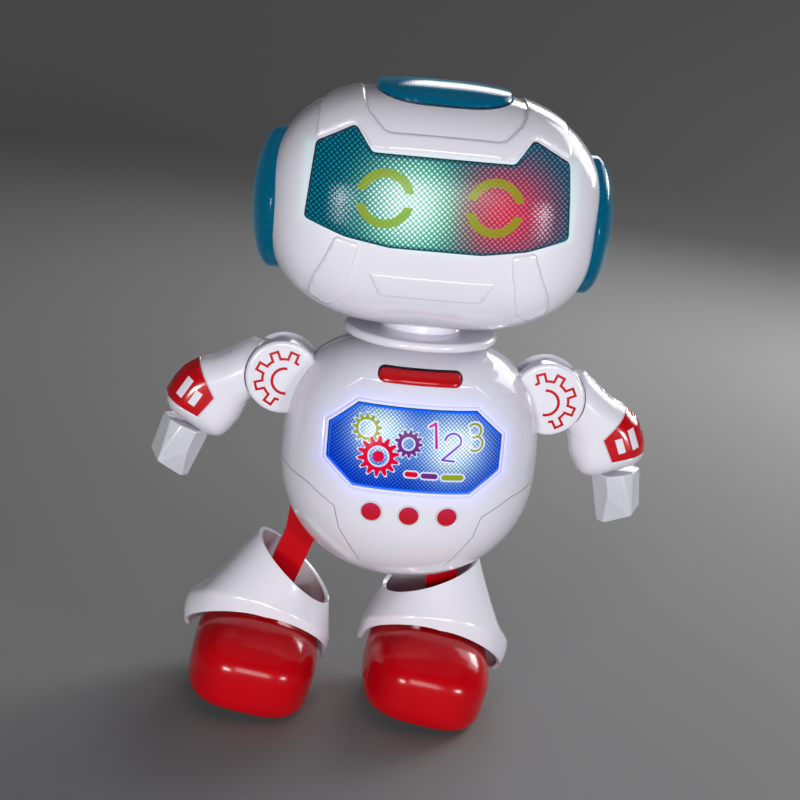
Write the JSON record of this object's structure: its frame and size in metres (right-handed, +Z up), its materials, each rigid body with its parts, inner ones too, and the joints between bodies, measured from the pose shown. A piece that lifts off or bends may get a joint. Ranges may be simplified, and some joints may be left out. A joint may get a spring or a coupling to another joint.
{
  "type": "toy robot",
  "caption": "Battery-driven dancing toy robot: round white body, turning wide head with lit visor, lit chest window, swinging arms and legs, red shoes.",
  "frame": {"origin": "on the floor under the middle of the whole outline", "axes": "+Z up, the robot faces -Y, +X towards its left hand"},
  "size_m": [0.177, 0.0818, 0.2214],
  "materials": {
    "white_shell": "glossy moulded ABS",
    "red_plastic": "glossy moulded ABS",
    "teal_lens": "clear tinted plastic with a prism texture",
    "blue_lens": "clear tinted plastic with a prism texture",
    "frosted_plastic": "frosted clear plastic",
    "lamp_plastic": "clear cast lamp",
    "black_plastic": "satin",
    "natural_plastic": "satin acetal",
    "circuit_board": "solder mask",
    "speaker_body": "paper cone in a metal basket",
    "battery_cell": "foil label",
    "motor_can": "plated can",
    "steel_pin": "ground"
  },
  "bodies": {
    "torso": {"torso_front_shell": "white_shell", "torso_rear_shell": "white_shell", "window_lens": "blue_lens", "chest_bar": "red_plastic", "window_light_board": "circuit_board", "window_led_right": "lamp_plastic", "window_led_left": "lamp_plastic", "battery_tray": "black_plastic", "battery_1": "battery_cell", "battery_2": "battery_cell", "battery_3": "battery_cell", "neck_post": "natural_plastic", "neck_retainer": "natural_plastic", "motor": "motor_can", "crank_axle": "steel_pin", "drive_plate_front": "natural_plastic", "drive_plate_rear": "natural_plastic", "hip_pin_right": "steel_pin", "hip_pin_left": "steel_pin", "shoulder_pin_right": "steel_pin", "shoulder_pin_left": "steel_pin"},
    "head": {"head_front_shell": "white_shell", "head_rear_shell": "white_shell", "visor_lens": "teal_lens", "head_lamp": "teal_lens", "ear_lens_right": "teal_lens", "ear_lens_left": "teal_lens", "neck_collar": "white_shell", "visor_light_board": "circuit_board", "visor_led_green": "lamp_plastic", "visor_led_red": "lamp_plastic", "speaker": "speaker_body"},
    "leg_right": {"strut_right": "red_plastic", "boot_right": "white_shell", "shoe_right": "red_plastic", "sole_right": "black_plastic", "foot_pin_right": "steel_pin", "wheel_axle_right": "steel_pin"},
    "arm_right": {"arm_front_right": "white_shell", "arm_rear_right": "white_shell", "hand_right": "frosted_plastic"},
    "wheel_right": {"wheel_right": "black_plastic"},
    "leg_left": {"strut_left": "red_plastic", "boot_left": "white_shell", "shoe_left": "red_plastic", "sole_left": "black_plastic", "foot_pin_left": "steel_pin", "wheel_axle_left": "steel_pin"},
    "arm_left": {"arm_front_left": "white_shell", "arm_rear_left": "white_shell", "hand_left": "frosted_plastic"},
    "wheel_left": {"wheel_left": "black_plastic"},
    "tie_bar": {"tie_bar": "natural_plastic"},
    "crank": {"crank_gear": "natural_plastic"},
    "pinion": {"motor_pinion": "natural_plastic"},
    "power_switch": {"power_switch_knob": "black_plastic"},
    "battery_door": {"battery_door": "white_shell", "battery_door_screw": "steel_pin"}
  },
  "joints": [
    {"name": "head_turn", "type": "hinge", "parent": "torso", "child": "head", "pos_m": [0.0033, 0, 0.14], "axis": [0, 0, 1], "range_deg": [-30, 30]},
    {"name": "right_hip", "type": "hinge", "parent": "torso", "child": "leg_right", "pos_m": [-0.0277, 0, 0.11452], "axis": [0, 1, 0], "range_deg": [-20, 0]},
    {"name": "left_hip", "type": "hinge", "parent": "torso", "child": "leg_left", "pos_m": [0.0343, 0, 0.11452], "axis": [0, 1, 0], "range_deg": [-20, 0]},
    {"name": "tie_bar_pivot", "type": "hinge", "parent": "leg_right", "child": "tie_bar", "pos_m": [-0.03117, 0, 0.09482], "axis": [0, 1, 0], "range_deg": [0, 20]},
    {"name": "right_shoulder", "type": "hinge", "parent": "torso", "child": "arm_right", "pos_m": [-0.0427, 0, 0.11752], "axis": [0, 1, 0], "range_deg": [-9.4, 0]},
    {"name": "left_shoulder", "type": "hinge", "parent": "torso", "child": "arm_left", "pos_m": [0.0493, 0, 0.11752], "axis": [0, 1, 0], "range_deg": [-9.4, 0]},
    {"name": "crank_spin", "type": "hinge", "parent": "torso", "child": "crank", "pos_m": [0.0033, 0, 0.09482], "axis": [0, 1, 0], "continuous": true},
    {"name": "pinion_spin", "type": "hinge", "parent": "torso", "child": "pinion", "pos_m": [0.0033, 0, 0.07962], "axis": [0, 1, 0], "continuous": true},
    {"name": "right_wheel_spin", "type": "hinge", "parent": "leg_right", "child": "wheel_right", "pos_m": [-0.04595, -0.02, 0.01102], "axis": [0.9848, 0, -0.1736], "continuous": true},
    {"name": "left_wheel_spin", "type": "hinge", "parent": "leg_left", "child": "wheel_left", "pos_m": [0.01605, -0.02, 0.01102], "axis": [0.9848, 0, -0.1736], "continuous": true},
    {"name": "power_switch_slide", "type": "slide", "parent": "torso", "child": "power_switch", "axis": [1, 0, 0], "range_m": [0, 0.004]},
    {"name": "battery_door_lift", "type": "slide", "parent": "torso", "child": "battery_door", "axis": [0, 1, 0], "range_m": [0, 0.03]}
  ],
  "couplings": [
    {"joint": "left_hip", "follows": "right_hip", "ratio": 1},
    {"joint": "tie_bar_pivot", "follows": "right_hip", "ratio": -1},
    {"joint": "right_shoulder", "follows": "right_hip", "ratio": 0.47},
    {"joint": "left_shoulder", "follows": "right_hip", "ratio": 0.47},
    {"joint": "pinion_spin", "follows": "crank_spin", "ratio": -3}
  ]
}
